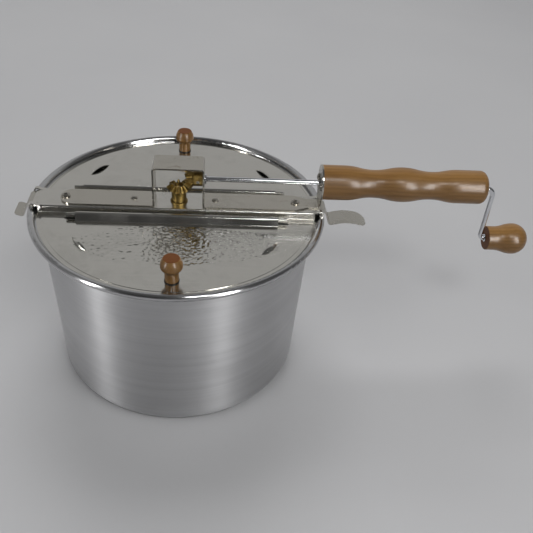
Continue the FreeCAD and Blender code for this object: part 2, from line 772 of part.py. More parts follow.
def clip_leaf(name, end, screw_place):
    """The part of a spring clip that is screwed up against the crossbar's plate and lies on the
    rim."""
    body = new_body(f"{name}_clip_leaf")
    half = of("clip_half_width")
    plan = new_sketch(body, "XY_Plane", f"{name}_leaf_plan", CLIP_UNDER)
    inner, outer = (screw_place - 8) * end, CLIP_BEND * end
    draw(plan, [(inner, -half), (outer, -half), (outer, half), (inner, half)])
    draw_circle(plan, screw_place * end, 0, of("screw_radius") + of("seat_gap"))
    pad(body, plan, of("clip_sheet"))
    return body


def clip_tongue(name, end, sweep_angle, corner):
    """The springy part of a clip: down outside the rim and out again as a thumb tongue."""
    body = new_body(f"{name}_clip_tongue")
    sheet_size = of("clip_sheet")
    steep = of("clip_steepness")
    rise = size(20)
    moves = [
        ("run", size(0.4)),
        ("bend", -steep * end, of("bead_radius") + sheet_size / 2),
        ("run", of("clip_drop_run")),
        ("bend", (steep + rise) * end, size(2.5)),
        ("bend", -sweep_angle * end, of("tongue_radius")),
    ]
    start = (CLIP_BEND * end, CLIP_UNDER + sheet_size / 2)
    outline = strip(start, 90 - 90 * end, moves, sheet_size)
    section = draw(new_sketch(body, "XZ_Plane", f"{name}_tongue_section"), outline)
    pad(body, section, of("clip_half_width") * 2, middle=True)
    tip = outline[len(moves)][0]
    half = of("clip_half_width")
    plan = new_sketch(body, "XY_Plane", f"{name}_tongue_plan", of("pot_height") + 5)
    for side in SIDES:
        hand = end * side
        draw(plan, [
            (tip - corner * end, (half + 1) * side),
            (tip - corner * end, half * side),
            (tip, (half - corner) * side, corner * -hand),
            (tip + size(2) * end, (half - corner) * side),
            (tip + size(2) * end, (half + 1) * side),
        ])
    cut(body, plan, of("pot_height") / 2)
    return body


def handle():
    """Turned wooden handle with a bore for the crank rod and pilot holes for its two screws."""
    body = new_body("handle")
    bore = of("rod_radius") + of("loose_gap")
    length, crest, waist = of("handle_length"), of("handle_radius"), of("handle_waist")
    step, collar, end, round_off = (
        of("handle_wave"), of("handle_collar"), of("handle_end_radius"), of("handle_round"))
    stations = [
        (size(0), crest),
        (collar, crest),
        (collar + step, waist),
        (collar + step * 2, crest),
        (collar + step * 3, waist),
        (collar + step * 4 - 2, end),
        (length - round_off, end),
    ]
    outline = [(0, bore)] + wave(stations)
    outline += [(length, end - round_off, -round_off), (length, bore)]
    profile = draw(new_sketch(body, "XZ_Plane", "handle_profile"), outline)
    turn(body, profile, "H_Axis")
    pilots = new_sketch(body, "YZ_Plane", "handle_pilots")
    for side in SIDES:
        draw_circle(pilots, of("wood_screw_place") * side, 0, of("wood_screw_radius") + of("seat_gap"))
    cut(body, pilots, size(22), back=True)
    return place(body, HANDLE_FACE, 0, HANDLE_AXIS)


def handle_screws():
    """Two wood screws through the bracket's plate into the handle."""
    screws = []
    for name, side in (("front", -1), ("back", 1)):
        screw = pan_screw(f"handle_screw_{name}", of("wood_screw_radius"), size(20), size(3.3))
        screws.append(place(
            screw, PLATE_BACK, of("wood_screw_place") * side, HANDLE_AXIS, (0, 1, 0), -90))
    return [group("handle_screws", screws)]


# Lids


def louvre(body, name, polar):
    """Presses a louvre into a lid: a thin half dome over a slot, its mouth towards the pot's axis."""
    polar, sheet_size = size(polar), of("lid_sheet")
    for kind, thinner, swing in (("Revolution", size(0), 90), ("Groove", sheet_size, 180)):
        sketch = new_sketch(body, "XY_Plane", f"{name}_{kind}", LEDGE + sheet_size / 2, angle=polar.value)
        bind(sketch, "AttachmentOffset.Base.x", VENT_RADIUS * cosine(polar))
        bind(sketch, "AttachmentOffset.Base.y", VENT_RADIUS * sine(polar))
        bind(sketch, "AttachmentOffset.Rotation.Angle", polar)
        half, rise = of("vent_half_length") - thinner, of("vent_rise") + sheet_size / 2 - thinner
        draw(sketch, [(0, -half), (0, half, dome_radius(half, rise))])
        feature = body.newObject(f"PartDesign::{kind}", f"{name}_{kind}_turned")
        feature.Profile = sketch
        feature.ReferenceAxis = (sketch, ["V_Axis"])
        feature.Angle = swing
        feature.Midplane = kind == "Groove"
        feature.Reversed = kind == "Revolution"
        body.Tip = feature


def half_lid(name, side):
    """Half a lid: a flat steel sheet whose straight edge rises and rolls over the hinge bead."""
    body = new_body(f"{name}_lid")
    sheet_size, radius, slope = of("lid_sheet"), LID_RADIUS, of("hem_slope")
    roll = of("hinge_bead") + of("hem_gap") + sheet_size / 2
    foot = SMALL + sheet_size / 2
    sheet_z = LEDGE + sheet_size / 2
    flank = (HINGE_HEIGHT - sheet_z - foot + (roll + foot) * sine(slope)) / cosine(slope)
    hem_y = of("hinge_offset") + (roll + foot) * cosine(slope) + flank * sine(slope)
    bare_y, notch_y = LID_EDGE, NOTCH_EDGE
    hem_x, notch_x = HEM_END, NOTCH_END
    end_x = root(radius * radius - bare_y * bare_y)
    plan = new_sketch(body, "XY_Plane", f"{name}_lid_plan", LEDGE)
    draw(plan, [
        (-end_x, bare_y * side, radius * side),
        (-notch_x, bare_y * side),
        (-notch_x, notch_y * side),
        (-hem_x, notch_y * side),
        (-hem_x, hem_y * side),
        (hem_x, hem_y * side),
        (hem_x, notch_y * side),
        (notch_x, notch_y * side),
        (notch_x, bare_y * side),
        (end_x, bare_y * side),
        (0, radius * side, radius * side),
    ])
    pad(body, plan, sheet_size)

    hem = new_sketch(body, "YZ_Plane", f"{name}_hem")
    moves = [
        ("run", size(1)),
        ("bend", (slope - 90) * side, foot),
        ("run", flank),
        ("bend", (of("hem_wrap") - slope) * side, roll),
    ]
    start = ((hem_y + 1) * side, sheet_z)
    draw(hem, strip(start, 90 + 90 * side, moves, sheet_size))
    pad(body, hem, hem_x * 2, middle=True)

    # A shallow ring pressed near the edge.
    doc.recompute()
    ring = new_sketch(body, "XZ_Plane", f"{name}_ring")
    inner = LID_RING
    draw(ring, [(inner, LID_TOP - 0.3), (inner + 1.8, LID_TOP - 0.3), (inner + 1.8, LID_TOP + 1), (inner, LID_TOP + 1)])
    groove = body.newObject("PartDesign::Groove", f"{name}_ring_groove")
    groove.Profile = ring
    groove.ReferenceAxis = (ring, ["V_Axis"])
    groove.Angle = 360
    body.Tip = groove

    for end in SIDES:
        polar = of("vent_angle") if end > 0 else 180 - of("vent_angle")
        louvre(body, f"{name}_vent_{'left' if end < 0 else 'right'}", polar * side)

    hole = new_sketch(body, "XY_Plane", f"{name}_knob_hole", LID_TOP + 1)
    draw_circle(hole, 0, KNOB_PLACE * side, of("screw_radius") + of("seat_gap"))
    cut(body, hole, sheet_size + 2)
    return body


def lid_knob(name, side):
    """Turned wooden knob: a straight neck under a full head with a flat top."""
    body = new_body(f"{name}_lid_knob")
    neck, head, height = of("lid_knob_neck"), of("lid_knob_head"), of("lid_knob_height")
    screw = of("screw_radius") + of("seat_gap")
    flare, crest, flat = height * 0.36, height * 0.64, head * 0.72
    rise, swell = crest - flare, head - neck
    bend = (rise * rise + swell * swell) / (swell * 4)
    brow = height - SMALL * 2
    drop = head - flat
    profile = new_sketch(body, "XZ_Plane", f"{name}_knob_profile")
    draw(profile, [
        (screw, 0),
        (neck - 0.4, 0),
        (neck, 0.4, 0.4),
        (neck, flare),
        (neck + swell / 2, flare + rise / 2, -bend),
        (head, crest, bend),
        (flat + SMALL, brow, dome_radius(brow - crest, drop - SMALL)),
        (flat - SMALL, height, SMALL * 2.2),
        (0, height),
        (0, 13),
        (screw, 13),
    ])
    turn(body, profile)
    return place(body, 0, KNOB_PLACE * side, LID_TOP + 0.8)


def knob_washer(name, side):
    body = new_body(f"{name}_knob_washer")
    ring = new_sketch(body, "XY_Plane", f"{name}_washer_ring")
    draw_circle(ring, 0, 0, of("lid_knob_neck") + 0.4)
    draw_circle(ring, 0, 0, of("screw_radius") + of("seat_gap"))
    pad(body, ring, size(0.8))
    return place(body, 0, KNOB_PLACE * side, LID_TOP)


def knob_screw(name, side):
    """Screw up through the lid and the washer into the knob."""
    screw = pan_screw(f"{name}_knob_screw", of("screw_radius"), of("lid_sheet") + 0.8 + 12, of("screw_head"))
    return place(screw, 0, KNOB_PLACE * side, LEDGE, (1, 0, 0), 180)


# Gear train


def mitre_gear(label, hub_end, screw_depth, screw_turn):
    """A brass mitre gear and its hub. The apex of its cone is the body's origin and the gear lies
    below it on the Z axis, with its hub ending at -hub_end and a tapped hole for its set screw."""
    body = new_body(label)
    pitch, ratio = of("gear_pitch_radius"), of("gear_toe_ratio")
    deep, tall = of("gear_dedendum") * cosine(45), of("gear_addendum") * cosine(45)
    heel_r, heel_z = pitch - deep, -(pitch + deep)
    tip_r, tip_z = pitch + tall, tall - pitch
    hub = of("hub_radius")
    bore = of("shaft_radius") if label == "driven_gear" else of("rod_radius")
    blank = new_sketch(body, "XZ_Plane", label + "_blank")
    draw(blank, [
        (bore + of("seat_gap"), -hub_end),
        (hub - 0.3, -hub_end),
        (hub, -hub_end + 0.3),
        (hub, tip_z - (tip_r - hub)),
        (heel_r, heel_z),
        (heel_r * ratio, -GEAR_TOE),
        (heel_r * ratio - of("gear_hollow_wall"), -GEAR_TOE),
        (heel_r * ratio - of("gear_hollow_wall"), -GEAR_HOLLOW),
        (bore + of("seat_gap"), -GEAR_HOLLOW),
    ])
    turn(body, blank)

    # A tooth is drawn at its heel and at its toe, on planes square to the pitch cone, and every
    # edge between the two runs to the apex.
    cone = pitch * root(size(2))
    sections = []
    for place_name, scale in (("heel", size(1)), ("toe", ratio)):
        tooth = new_sketch(
            body, "YZ_Plane", f"{label}_{place_name}", cone * scale, (1, 0, 0), 45)
        half_root, half_pitch, half_tip = (
            of("tooth_half_root") * scale, of("tooth_half_pitch") * scale, of("tooth_half_tip") * scale)
        foot, top = -(of("gear_dedendum") + 0.3) * scale, of("gear_addendum") * scale
        draw(tooth, [
            (-half_root, foot), (half_root, foot), (half_pitch, 0),
            (half_tip, top), (-half_tip, top), (-half_pitch, 0),
        ])
        sections.append(tooth)
    loft = body.newObject("PartDesign::AdditiveLoft", label + "_tooth")
    loft.Profile = sections[0]
    loft.Sections = [sections[1]]
    loft.Ruled = True
    body.Tip = loft
    teeth = body.newObject("PartDesign::PolarPattern", label + "_teeth")
    teeth.Originals = [loft]
    teeth.Axis = (blank, ["V_Axis"])
    teeth.Angle = 360
    bind(teeth, "Occurrences", of("gear_teeth"))
    body.Tip = teeth

    tapped = new_sketch(body, "YZ_Plane", label + "_tapped", 0, (0, 1, 0), screw_turn)
    draw_circle(tapped, 0, -screw_depth, size(1.5) + of("seat_gap"))
    cut(body, tapped, hub + 2, back=True)
    return body


def set_screw(label, seat):
    """Socket set screw whose point stands on its shaft, at that distance from the shaft's axis."""
    body = new_body(label)
    tip = new_sketch(body, "XY_Plane", label + "_round", seat)
    draw_circle(tip, 0, 0, size(1.5))
    pad(body, tip, of("hub_radius") - seat - 0.3)
    socket = new_sketch(body, "XY_Plane", label + "_socket", of("hub_radius"))
    draw(socket, [(cosine(60 * k) * 0.85, sine(60 * k) * 0.85) for k in range(6)])
    cut(body, socket, size(1.8))
    return body


DRIVEN_HUB = AXLE - FLANGE_TOP
DRIVE_HUB = ARCH_INSIDE - 0.1
DRIVE_SCREW = size(16.6)
DRIVEN_SCREW = size(17.5)
DRIVE_SCREW_TURN = 250
DRIVEN_SCREW_TURN = 125


def turned(*steps):
    """One turn after another, each (axis, angle) in the axes that the steps before it left."""
    total = FreeCAD.Rotation()
    for axis, angle in steps:
        total = total.multiply(FreeCAD.Rotation(FreeCAD.Vector(*axis), angle))
    return total


# The driven gear stands on the stirrer's shaft. The drive gear lies on the crank rod, and is half a
# tooth further round so that the pair is in mesh.
PHASE = of("gear_phase").value
DRIVEN_TURN = [((0, 0, 1), PHASE)]
DRIVE_TURN = [((1, 0, 0), PHASE), ((0, 1, 0), -90), ((0, 0, 1), 180 / of("gear_teeth").value)]


def driven_gear():
    gear = mitre_gear("driven_gear", DRIVEN_HUB, DRIVEN_SCREW, DRIVEN_SCREW_TURN)
    place(gear, 0, 0, AXLE)
    gear.Placement.Rotation = turned(*DRIVEN_TURN)
    return gear


def driven_gear_screw():
    screw = set_screw("driven_gear_screw", of("shaft_radius"))
    place(screw, 0, 0, AXLE - DRIVEN_SCREW)
    screw.Placement.Rotation = turned(*DRIVEN_TURN, ((0, 0, 1), DRIVEN_SCREW_TURN), ((0, 1, 0), 90))
    return screw


def drive_gear():
    gear = mitre_gear("drive_gear", DRIVE_HUB, DRIVE_SCREW, DRIVE_SCREW_TURN)
    place(gear, 0, 0, AXLE)
    gear.Placement.Rotation = turned(*DRIVE_TURN)
    return gear


def drive_gear_screw():
    screw = set_screw("drive_gear_screw", of("rod_radius"))
    place(screw, DRIVE_SCREW, 0, AXLE)
    screw.Placement.Rotation = turned(*DRIVE_TURN, ((0, 0, 1), DRIVE_SCREW_TURN), ((0, 1, 0), 90))
    return screw


# Pieces that turn with the crank


def crank_rod():
    """Steel wire: through the arch and the handle, down the arm and out through the knob."""
    body = new_body("crank_rod")
    radius, arm, drop = of("rod_radius"), ARM, of("arm_length")
    upper, lower = of("arm_bend"), of("knob_bend")
    path = new_sketch(body, "XZ_Plane", "rod_path")
    draw(path, [
        (GEAR_HOLLOW, 0),
        (arm - upper, 0),
        (arm, -upper, -upper),
        (arm, -drop + lower),
        (arm + lower, -drop, lower),
        (KNOB_FACE + of("crank_knob_length") - 2, -drop),
    ], closed=False)
    section = draw_circle(new_sketch(body, "YZ_Plane", "rod_section", GEAR_HOLLOW), 0, 0, radius)
    sweep(body, section, path)
    doc.recompute()
    stop = new_sketch(body, "YZ_Plane", "rod_stop", arm + lower)
    draw_circle(stop, 0, -drop, radius + 1.4)
    pad(body, stop, size(0.9))
    return place(body, 0, 0, AXLE)


def rod_collar():
    """Push-on ring that stops the rod outside the arch."""
    body = new_body("rod_collar")
    ring = new_sketch(body, "YZ_Plane", "collar_ring")
    draw_circle(ring, 0, 0, of("rod_radius") + 2.2)
    draw_circle(ring, 0, 0, of("rod_radius") + of("seat_gap"))
    pad(body, ring, size(1.4))
    return place(body, of("arch_half_span") + 0.2, 0, AXLE)


def crank_knob():
    """Turned wooden knob that spins on the end of the crank, counterbored for its push nut."""
    body = new_body("crank_knob")
    bore = of("rod_radius") + 0.35
    length, face = of("crank_knob_length"), of("crank_knob_face_radius")
    crest_x, crest = of("crank_knob_crest_place"), of("crank_knob_crest")
    end = size(6.4)
    drop, run = crest - end, length - crest_x
    outline = [(0, bore), (0, face - SMALL), (SMALL, face, -SMALL)]
    outline += wave([(size(7), face), (crest_x, crest)])
    outline += [
        (length, end, -dome_radius(run, drop)),
        (length, 5.2),
        (length - 5, 5.2),
        (length - 5, bore),
    ]
    turn(body, draw(new_sketch(body, "XZ_Plane", "crank_knob_profile"), outline), "H_Axis")
    return place(body, KNOB_FACE, 0, KNOB_AXIS)


def knob_push_nut():
    """Domed push nut on the end of the crank, inside the knob's counterbore."""
    body = new_body("knob_push_nut")
    inner, outer = of("rod_radius") + of("seat_gap"), size(4.6)
    profile = new_sketch(body, "XZ_Plane", "push_nut_profile")
    draw(profile, [(0, inner), (2.8, inner), (2.8, inner + 1), (0.9, outer), (0, outer)])
    turn(body, profile, "H_Axis")
    seat = KNOB_FACE + of("crank_knob_length") - 4.9
    return place(body, seat, 0, KNOB_AXIS)


# Pieces that turn with the stirrer


CLIP_TOP = SLEEVE_FOOT - 0.1
GROOVE_DEPTH = size(0.5)


def stirrer_shaft():
    """Steel shaft from the driven gear to the pot's floor, grooved for its ring and cross drilled
    for the wire."""
    body = new_body("stirrer_shaft")
    radius = of("shaft_radius")
    top = AXLE - GEAR_HOLLOW
    ring = size(1.0)
    profile = new_sketch(body, "XZ_Plane", "shaft_profile")
    draw(profile, [
        (0, of("shaft_foot")),
        (radius - SMALL, of("shaft_foot")),
        (radius, of("shaft_foot") + SMALL),
        (radius, CLIP_TOP - ring),
        (radius - GROOVE_DEPTH, CLIP_TOP - ring),
        (radius - GROOVE_DEPTH, CLIP_TOP),
        (radius, CLIP_TOP),
        (radius, top),
        (0, top),
    ])
    turn(body, profile)
    drilled = new_sketch(body, "YZ_Plane", "shaft_cross_hole")
    draw_circle(drilled, 0, WIRE_CROSS, of("wire_radius") + of("seat_gap"))
    cut(body, drilled, radius * 2 + 2, middle=True)
    return body


def shaft_ring():
    """Retaining ring in the shaft's groove, under the bushing."""
    body = new_body("shaft_ring")
    ring = new_sketch(body, "XY_Plane", "shaft_ring_plan", CLIP_TOP - 0.95)
    radius = of("shaft_radius")
    draw_circle(ring, 0, 0, radius + 2.2)
    draw_circle(ring, 0, 0, radius - GROOVE_DEPTH + of("seat_gap"))
    pad(body, ring, size(0.9))
    return body


def stirring_wire():
    """One wire through the shaft: down on both sides, along just above the floor, up at the ends."""
    body = new_body("stirring_wire")
    drop = of("wire_cross_height")
    bend = size(3.5)
    dip = size(60)
    # Each side falls along a slope between two equal bends.
    fall = (drop - bend * 2 * (1 - cosine(dip))) * (size(1) / sine(dip))
    level = size(3.6)
    slope_x = bend * sine(dip)
    low_x = level + slope_x * 2 + fall * cosine(dip)
    tip_bend = size(9)
    tip = size(50)
    path = draw(new_sketch(body, "XZ_Plane", "wire_path"), [
        (0, WIRE_CROSS),
        (level, WIRE_CROSS),
        (level + slope_x, WIRE_CROSS - bend * (1 - cosine(dip)), -bend),
        (low_x - slope_x, WIRE_LOW + bend * (1 - cosine(dip))),
        (low_x, WIRE_LOW, bend),
        (WIRE_REACH, WIRE_LOW),
        (WIRE_REACH + tip_bend * sine(tip), WIRE_LOW + tip_bend * (1 - cosine(tip)), tip_bend),
    ], closed=False)
    section = draw_circle(new_sketch(body, "YZ_Plane", "wire_section"), 0, WIRE_CROSS, of("wire_radius"))
    half = sweep(body, section, path)
    both = body.newObject("PartDesign::Mirrored", "wire_both_sides")
    both.Originals = [half]
    both.MirrorPlane = (path, ["V_Axis"])
    body.Tip = both
    return body


# Build, check and write every node

nodes = [pot(), crossbar(), gear_bracket(), shaft_bushing()]
nodes += clip_fasteners() + bracket_rivets()
nodes += [clip_leaf("left", -1, LEFT_SCREW), clip_leaf("right", 1, RIGHT_SCREW)]
nodes += [
    clip_tongue("left", -1, of("left_tongue_sweep"), size(3)),
    clip_tongue("right", 1, of("right_tongue_sweep"), size(8)),
]
nodes += [handle()] + handle_screws()
for lid_name, lid_side in (("front", -1), ("back", 1)):
    nodes.append(half_lid(lid_name, lid_side))
    nodes.append(lid_knob(lid_name, lid_side))
    nodes.append(knob_washer(lid_name, lid_side))
    nodes.append(knob_screw(lid_name, lid_side))
nodes += [crank_rod(), drive_gear(), drive_gear_screw(), rod_collar(), knob_push_nut(), crank_knob()]
nodes += [stirrer_shaft(), driven_gear(), driven_gear_screw(), shaft_ring(), stirring_wire()]
doc.recompute()

for item in doc.Objects:
    if any(state in ("Invalid", "Error") for state in item.State):
        raise RuntimeError(f"{item.Label} failed: {item.State}")
os.makedirs("parts", exist_ok=True)
for node in nodes:
    shape = node.Shape
    if shape.isNull() or not shape.isValid() or not shape.Solids:
        raise RuntimeError(f"{node.Label} has no valid solid")
    shape.exportStep(f"parts/{node.Label}.step")
    box = shape.BoundBox
    print(f"{node.Label}: {len(shape.Solids)} solid(s), {shape.Volume:.1f} mm3, "
          f"x {box.XMin:.1f} to {box.XMax:.1f}, y {box.YMin:.1f} to {box.YMax:.1f}, "
          f"z {box.ZMin:.1f} to {box.ZMax:.1f}")
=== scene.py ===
# %% [markdown]
# # A stovetop popcorn popper
#
# The metal and wooden parts come from the CAD model, already in place and in metres. This lesson
# gives each of them its finish, presses the pattern into the front lid, and sets up the studio.

# %% Load the CAD frame
import math

import bmesh
import bpy
from mathutils import Matrix, Vector, noise


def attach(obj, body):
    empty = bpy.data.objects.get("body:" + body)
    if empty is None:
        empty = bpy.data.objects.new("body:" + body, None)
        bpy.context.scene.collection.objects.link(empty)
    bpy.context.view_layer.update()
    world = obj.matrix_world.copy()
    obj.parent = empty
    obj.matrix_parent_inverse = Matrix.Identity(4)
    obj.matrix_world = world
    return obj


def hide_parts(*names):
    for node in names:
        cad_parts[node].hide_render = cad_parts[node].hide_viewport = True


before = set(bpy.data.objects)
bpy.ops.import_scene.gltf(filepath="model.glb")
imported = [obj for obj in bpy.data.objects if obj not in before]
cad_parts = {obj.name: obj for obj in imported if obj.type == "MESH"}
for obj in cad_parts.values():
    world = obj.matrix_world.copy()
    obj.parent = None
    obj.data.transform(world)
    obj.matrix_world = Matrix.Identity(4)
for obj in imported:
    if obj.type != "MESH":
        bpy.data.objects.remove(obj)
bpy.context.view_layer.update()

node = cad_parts

MM = 0.001
SCENE = bpy.context.scene

# %% [markdown]
# ## The camera
#
# The camera looks from in front, a little right of the middle, and down at about 38
# degrees. The camera's place and its three turns were worked out from the rim, the base and the
# ends of the crossbar. A camera can be aimed with a Track To constraint, but that can't hold a tilted
# horizon, so its matrix is built here from its own right, up and backward directions.

# %% Camera
PHOTO_WIDTH = 533
FOCAL_PIXELS = 688.6
FILM_WIDTH = 36
YAW, PITCH, ROLL = (math.radians(a) for a in (5.49, 37.67, 4.75))
CAMERA_PLACE = Vector((32.45, -521.56, 498.82)) * MM

ahead = Vector((math.sin(YAW), math.cos(YAW), 0))
forward = math.cos(PITCH) * ahead - math.sin(PITCH) * Vector((0, 0, 1))
level = Vector((math.cos(YAW), -math.sin(YAW), 0))
above = level.cross(forward)
right = math.cos(ROLL) * level + math.sin(ROLL) * above
up = -math.sin(ROLL) * level + math.cos(ROLL) * above

camera_data = bpy.data.cameras.new("photo_camera")
camera_data.sensor_width = FILM_WIDTH
camera_data.lens = FOCAL_PIXELS / PHOTO_WIDTH * FILM_WIDTH
camera = bpy.data.objects.new("photo_camera", camera_data)
SCENE.collection.objects.link(camera)
place = Matrix((right, up, -forward)).transposed().to_4x4()
place.translation = CAMERA_PLACE
camera.matrix_world = place
SCENE.camera = camera
print("lens", round(camera_data.lens, 2), "mm")

# %% [markdown]
# ## Shader sums written as Python
#
# A finish is mostly arithmetic on noise. Wiring each Math node by hand hides that arithmetic, so a
# small class wraps a node's output and turns + - * into Math nodes. Colours don't go through it,
# because a Math node would turn them grey.


# %% A socket that can be added and multiplied
class Signal:
    """One number that varies over a surface."""

    def __init__(self, web, socket):
        self.web = web
        self.socket = socket

    def math(self, operation, *others, swapped=False):
        values = (*others, self) if swapped else (self, *others)
        return self.web.add("ShaderNodeMath", {"operation": operation}, dict(enumerate(values)))

    def __add__(self, other):
        return self.math("ADD", other)

    def __sub__(self, other):
        return self.math("SUBTRACT", other)

    def __rsub__(self, other):
        return self.math("SUBTRACT", other, swapped=True)

    def __mul__(self, other):
        return self.math("MULTIPLY", other)

    __radd__ = __add__
    __rmul__ = __mul__

    def root(self):
        return self.math("POWER", 0.5)

    def ramp(self, low, high):
        """0 below low, 1 above high, smooth in between."""
        settings = {"interpolation_type": "SMOOTHSTEP"}
        values = {"Value": self, "From Min": low, "From Max": high}
        return self.web.add("ShaderNodeMapRange", settings, values)


# %% [markdown]
# ## Webs of nodes
#
# Every material and the world are webs of nodes. Each kind of node could get a function of its own,
# but one method that takes the node's type, its settings and its sockets' values covers them all, and
# short methods on top of it name the few kinds that come back again and again.


# %% Nodes of a material or a world
class Web:
    """The nodes of one material or of the world, with one method for every kind of node."""

    def __init__(self, tree):
        self.nodes = tree.nodes
        self.links = tree.links

    def feed(self, socket, value):
        if isinstance(value, Signal):
            self.links.new(value.socket, socket)
        else:
            socket.default_value = value

    def add(self, kind, settings, inputs, output=0):
        """A node: its settings first, then what goes into its sockets."""
        made = self.nodes.new(kind)
        for name, value in settings.items():
            if name == "stops":
                ramp = made.color_ramp
                while len(ramp.elements) < len(value):
                    ramp.elements.new(0.5)
                for stop, (position, colour) in zip(ramp.elements, value):
                    stop.position = position
                    stop.color = colour
            else:
                setattr(made, name, value)
        for name, value in inputs.items():
            self.feed(made.inputs[name], value)
        return Signal(self, made.outputs[output])

    def place_and_parts(self, output):
        """A coordinate, whole and as its X, Y and Z."""
        whole = self.add("ShaderNodeTexCoord", {}, {}, output)
        return whole, [self.add("ShaderNodeSeparateXYZ", {}, {0: whole}, i) for i in range(3)]

    def point(self, x, y, z):
        return self.add("ShaderNodeCombineXYZ", {}, {0: x, 1: y, 2: z})

    def noise(self, where, scale, detail=2.0, roughness=0.5, distortion=0.0):
        values = {
            "Vector": where,
            "Scale": scale,
            "Detail": detail,
            "Roughness": roughness,
            "Distortion": distortion,
        }
        return self.add("ShaderNodeTexNoise", {}, values)

    def mix(self, amount, low, high):
        return self.add("ShaderNodeMix", {"data_type": "RGBA"}, {0: amount, 6: low, 7: high}, 2)

    def colours(self, amount, *stops):
        return self.add("ShaderNodeValToRGB", {"stops": stops}, {0: amount})

    def bump(self, height, distance, strength=1.0, under=None):
        values = {"Height": height, "Distance": distance, "Strength": strength}
        if under:
            values["Normal"] = under
        return self.add("ShaderNodeBump", {}, values, "Normal")


# %% A material with one shader
class Finish(Web):
    """A material. Constants go straight to the shader's sockets."""

    def __init__(self, name, **constants):
        self.material = bpy.data.materials.new(name)
        self.material.use_nodes = True
        super().__init__(self.material.node_tree)
        self.shader = self.nodes["Principled BSDF"]
        self.place, self.xyz = self.place_and_parts("Object")
        self.wear(**constants)

    def wear(self, **values):
        for socket, value in values.items():
            self.feed(self.shader.inputs[socket.replace("_", " ")], value)
        return self


def srgb(red, green, blue):
    """A colour as it is seen, turned into the shader's linear numbers."""
    shares = (channel / 255 for channel in (red, green, blue))
    return (*(c / 12.92 if c <= 0.04 else ((c + 0.055) / 1.055) ** 2.4 for c in shares), 1)


# %% [markdown]
# ## Spun aluminium
#
# The pot is spun on a lathe: the tool leaves fine rings all the way round, and they stretch every
# highlight up and down the wall. Real grooves would take millions of faces. Anisotropic reflection
# gives the stretched light, and noise that is squeezed along the pot's profile gives the rings
# themselves, in the roughness and in a shallow bump.


# %% Spun aluminium
RIM_POLISH = (156.8 * MM, 159.2 * MM)


def spun_aluminium():
    """Rings by radius and height together, so that they run on over the base's corner."""
    finish = Finish(
        "spun_aluminium",
        Metallic=1.0,
        Anisotropic=0.82,
        Anisotropic_Rotation=0.25,
    )
    x, y, z = finish.xyz
    along = z + (x * x + y * y).root()
    rings = finish.noise(finish.point(x * 6, y * 6, along * 1100), 1.0, 3.0, 0.65)
    broad = finish.noise(finish.point(x * 7, y * 7, along * 190), 1.0, 2.0, 0.5)
    cloud = finish.noise(finish.place, 22.0, 3.0, 0.6)
    polished = z.ramp(*RIM_POLISH)
    shade = 0.35 * rings + 0.4 * broad + 0.25 * cloud
    finish.wear(
        Base_Color=finish.mix(shade, srgb(164, 164, 165), srgb(208, 208, 209)),
        Roughness=0.25 + 0.10 * rings + 0.05 * cloud - 0.12 * polished,
        Normal=finish.bump(rings, 0.00006, 0.5, finish.bump(broad, 0.0001, 0.35)),
    )
    return finish


aluminium = spun_aluminium()
print("spun aluminium:", len(aluminium.nodes), "nodes")

# %% [markdown]
# ## Polished sheet steel
#
# The half lids, the crossbar, the bracket and the clips are bright rolled sheet. Rolling leaves faint
# straight lines, hands leave smudges, and sheet is never quite flat, so its reflections wander. One
# function makes all of them, with its own roughness and line direction for each.


# %% Sheet steel
GREASE = srgb(128, 108, 78)
DULLING = 16


def sheet_steel(name, roughness, lines, stain=0.0, tone=(206, 204, 198)):
    """lines: how fast the rolling lines change along X, Y and Z. stain: how brown the spots are."""
    finish = Finish(name, Metallic=1.0)
    rolled = finish.point(*(part * rate for part, rate in zip(finish.xyz, lines)))
    fine = finish.noise(rolled, 1.0, 3.0, 0.6)
    smudge = finish.noise(finish.place, 34.0, 4.0, 0.62, 0.4)
    sway = finish.noise(finish.place, 13.0, 1.0, 0.4)
    dull = smudge.ramp(0.45, 0.75)
    dim = srgb(*(channel - DULLING for channel in tone))
    colour = finish.mix(0.5 * fine + 0.5 * dull, srgb(*tone), dim)
    if stain:
        spots = finish.noise(finish.place, 75.0, 4.0, 0.7, 1.2).ramp(0.60, 0.80)
        colour = finish.mix(spots * stain, colour, GREASE)
    finish.wear(
        Base_Color=colour,
        Roughness=roughness + 0.06 * fine + 0.10 * dull,
        Normal=finish.bump(fine, 0.00002, 0.35, finish.bump(sway, 0.0016, 0.5)),
    )
    return finish


ALONG_X, ACROSS_LID, EVEN = (20, 1500, 1500), (30, 1400, 30), (900, 900, 900)
WARM_GREY, SPRING_GREY, SCREW_GREY = (190, 186, 177), (190, 187, 179), (164, 160, 152)

lid_steel = sheet_steel("polished_lid_steel", 0.10, ACROSS_LID)
bar_steel = sheet_steel("crossbar_steel", 0.17, ALONG_X, stain=0.35)
strap_steel = sheet_steel("strap_steel", 0.16, ALONG_X, stain=0.6, tone=WARM_GREY)
clip_steel = sheet_steel("spring_steel", 0.22, (25, 1100, 1100), tone=SPRING_GREY)
screw_steel = sheet_steel("screw_steel", 0.24, EVEN, stain=0.45, tone=SCREW_GREY)
steels = (lid_steel, bar_steel, strap_steel, clip_steel, screw_steel)
print("sheet steels:", [steel.material.name for steel in steels])
